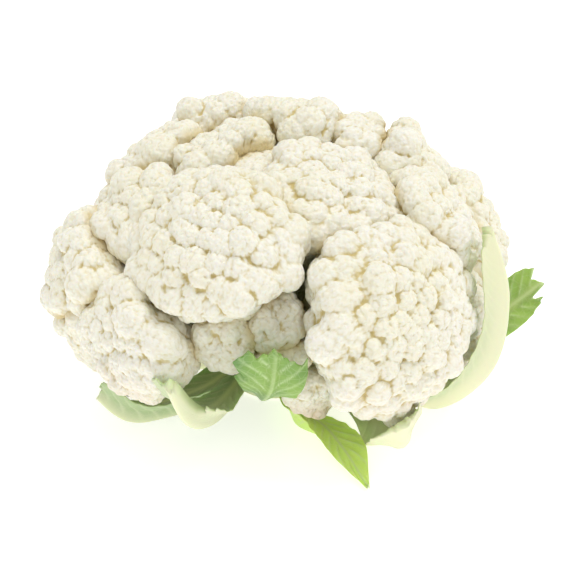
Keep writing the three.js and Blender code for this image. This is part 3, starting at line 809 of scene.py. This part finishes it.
# %% [markdown]
# ## The stem
# The stem is cut off flat below the lowest leaves. It is turned like a vase, but nothing grown is
# truly round, so the profile is read from the plain stem and then dented, fluted and marked with
# the crescent scars of the leaves that were pulled off. The cut face shows a pale pith inside a
# ring of woody bundles.

# %% Shape the stem
STEM_TURNS = 160  # points round the stem
STEM_RISE = 90  # and up its side
FACE_RINGS = 26  # and across the cut face
SCARS = 9


def stem_rings():
    points, faces = solids["stem"]
    heights = np.unique(np.round(points[:, 2], 6))
    reach = np.hypot(points[:, 0], points[:, 1])
    profile = np.array([reach[abs(points[:, 2] - z) < 1e-5].max() for z in heights])
    turn = np.linspace(0, 2 * math.pi, STEM_TURNS, endpoint=False)[None, :]
    face = np.linspace(0.02, 1, FACE_RINGS)[:, None]
    rise = np.linspace(0, 1, STEM_RISE)[1:, None]
    share = np.concatenate([face, np.ones_like(rise)])
    z = np.concatenate([face * 0, heights[-1] * rise])
    radius = share * np.interp(z, heights, profile)
    flutes = 0.5 * np.sin(5 * turn + 0.7 * np.sin(z / (9 * MM))) + 0.35 * np.sin(8 * turn + 1.3)
    dents = np.sin(3 * turn + z / (7 * MM)) * np.sin(z / (5 * MM) + 2 * turn)
    radius = radius - share**2 * MM * (0.9 + flutes * 0.6 + dents * 0.35)
    for k in range(SCARS):
        around = (turn - k * GOLDEN_ANGLE + math.pi) % (2 * math.pi) - math.pi
        up = (z - (5 + 1.6 * k) * MM) / MM
        scar = np.exp(-((around * 20 / 7) ** 4) - ((up - 1.2 * np.cos(around * 3)) / 1.3) ** 2)
        radius = radius + 0.8 * MM * scar * (share > 0.999) * (z > 0)
    radius = np.maximum(radius, 0.2 * MM)
    marks = 0.12 * MM * (1 + np.sin(radius * np.cos(turn) / (1.1 * MM) + 0.4 * np.sin(6 * turn)))
    z = z + marks * (share < 0.98)
    rings = np.stack([radius * np.cos(turn), radius * np.sin(turn), z * np.ones_like(turn)], axis=-1)
    return rings, share * np.ones_like(turn)


def closed_turning(name, rings):
    """One closed mesh from rings of points, with a fan at each end."""
    count, size = rings.shape[:2]
    ends = [rings[0].mean(0), rings[-1].mean(0)]
    points = np.concatenate([rings.reshape(-1, 3), ends])
    at = lambda i, j: i * size + j % size
    faces = [(at(i, j + 1), at(i, j), at(i + 1, j), at(i + 1, j + 1))
             for i in range(count - 1) for j in range(size)]
    faces += [(count * size, at(0, j), at(0, j + 1)) for j in range(size)]
    faces += [(count * size + 1, at(count - 1, j + 1), at(count - 1, j)) for j in range(size)]
    return facing_out(object_from(name, points, faces), points, faces)


def stem_material():
    material, tree, shader = shaded("stem")
    where = put(tree, "ShaderNodeTexCoord").outputs["Object"]
    grain = placed(tree, skin_grain, Place=where, Cells_per_metre=900.0, Patches_per_metre=60.0)
    parts = put(tree, "ShaderNodeSeparateXYZ", where)
    flat = put(tree, "ShaderNodeCombineXYZ", parts.outputs["X"], parts.outputs["Y"], 0.0)
    reach = vector_of(tree, flat, None, "LENGTH").outputs["Value"]
    side = mixed(tree, grain.outputs["Patches"], (0.62, 0.68, 0.38), (0.74, 0.76, 0.52))
    pith = mixed(tree, grain.outputs["Patches"], (0.80, 0.79, 0.60), (0.85, 0.84, 0.68))
    bundles = put(tree, "ShaderNodeTexVoronoi", named={"Vector": flat, "Scale": 520.0})
    dots = ramp_of(tree, bundles.outputs["Distance"], 0.15, 0.4, 1.0, 0.0)
    ring_in = ramp_of(tree, reach, 11 * MM, 12.5 * MM)
    ring_out = ramp_of(tree, reach, 15 * MM, 16 * MM, 1.0, 0.0)
    ring = sum_of(tree, ring_in, ring_out, "MULTIPLY")
    face = mixed(tree, sum_of(tree, dots, ring, "MULTIPLY"), pith, (0.55, 0.45, 0.22))
    face = mixed(tree, sum_of(tree, ring, 0.35, "MULTIPLY"), face, (0.66, 0.70, 0.40))
    rim = ramp_of(tree, reach, 15.5 * MM, 18.5 * MM, 0.0, 0.7)
    face = mixed(tree, rim, face, (0.52, 0.38, 0.18))
    colour = mixed(tree, read(tree, "cut"), side, face)
    wire(tree, shader.inputs["Base Color"], colour)
    bump = put(tree, "ShaderNodeBump", named={
        "Strength": 0.4, "Distance": 0.3 * MM, "Height": grain.outputs["Height"]})
    wire(tree, shader.inputs["Normal"], bump)
    shader.inputs["Roughness"].default_value = 0.5
    shader.inputs["Subsurface Weight"].default_value = 0.2
    shader.inputs["Subsurface Radius"].default_value = (0.8, 1.0, 0.5)
    shader.inputs["Subsurface Scale"].default_value = 2.0 * MM
    return material


rings, share = stem_rings()
stem = closed_turning("cut_stem", rings)
cut = np.append((share < 0.999).astype(float), [1.0, 0.0])
keep_on_points(stem, "cut", cut)
stem.data.materials.append(stem_material())
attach(stem, "root")
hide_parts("stem")
print(f"{stem.name}: {len(stem.data.polygons)} faces")

# %% [markdown]
# ## The light and the view
# A bright, even light suits pale food: a white floor that glows a little, a white room, one broad
# soft sun from above and a faint one from the front. Suns light the floor the same near and far.

# %% Floor, lights and camera
floor = object_from("floor", [(-4, -4, 0), (4, -4, 0), (4, 4, 0), (-4, 4, 0)], [(0, 1, 2, 3)])
floor_paint, _, floor_shader = shaded("floor")
floor_shader.inputs["Base Color"].default_value = (0.75, 0.75, 0.75, 1)
floor_shader.inputs["Roughness"].default_value = 0.9
floor_shader.inputs["Emission Color"].default_value = (1, 1, 1, 1)
floor_shader.inputs["Emission Strength"].default_value = 0.58
floor.data.materials.append(floor_paint)


def soft_sun(name, direction, strength, width):
    light = bpy.data.lights.new(name, "SUN")
    light.energy, light.angle = strength, math.radians(width)
    lamp = bpy.data.objects.new(name, light)
    lamp.rotation_euler = Vector(direction).to_track_quat("-Z", "Y").to_euler()
    bpy.context.scene.collection.objects.link(lamp)
    return lamp


soft_sun("key", (-0.22, -0.12, -1.0), 1.3, 30)
soft_sun("fill", (0.1, 1.0, -0.25), 0.1, 60)
world = bpy.data.worlds.new("room")
world.use_nodes = True
world.node_tree.nodes["Background"].inputs["Color"].default_value = (1, 1, 1, 1)
world.node_tree.nodes["Background"].inputs["Strength"].default_value = 0.68
bpy.context.scene.world = world

LOOK_AT = Vector((6, 0, 41.5)) * MM
DISTANCE = 750 * MM
ELEVATION = math.radians(30)
LENS, SENSOR = 117.2, 36.0  # in millimetres
eye = bpy.data.cameras.new("camera")
eye.lens, eye.sensor_width = LENS, SENSOR
camera = bpy.data.objects.new("camera", eye)
back = Vector((0, -math.cos(ELEVATION), math.sin(ELEVATION)))
camera.location = LOOK_AT + back * DISTANCE
camera.rotation_euler = (-back).to_track_quat("-Z", "Y").to_euler()
bpy.context.scene.collection.objects.link(camera)
bpy.context.scene.camera = camera
bpy.context.scene.view_settings.view_transform = "Standard"
print("camera", round(DISTANCE / MM), "mm away, looking down", round(math.degrees(ELEVATION)), "degrees")
